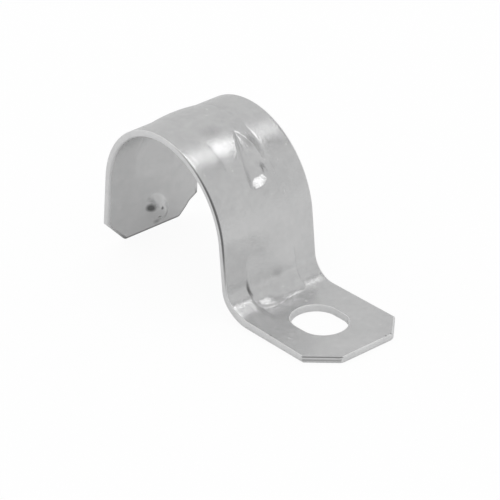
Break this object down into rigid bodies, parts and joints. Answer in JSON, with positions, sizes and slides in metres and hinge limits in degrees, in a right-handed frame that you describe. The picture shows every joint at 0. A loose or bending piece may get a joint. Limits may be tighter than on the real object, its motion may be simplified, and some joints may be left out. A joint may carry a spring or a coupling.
{
  "type": "conduit strap",
  "caption": "One-hole strap pressed from steel strip: a hooked saddle over a round conduit, a stepped leg and a flat foot with a screw slot.",
  "frame": {"origin": "middle of the screw slot, on the mounting face under the foot", "axes": "+X from the hooked leg towards the foot's end, +Y along the conduit, +Z away from the wall"},
  "size_m": [0.0467, 0.016, 0.0232],
  "materials": {
    "zinc_plate": "bright zinc plate"
  },
  "bodies": {
    "root": {"strap": "zinc_plate"}
  },
  "joints": []
}
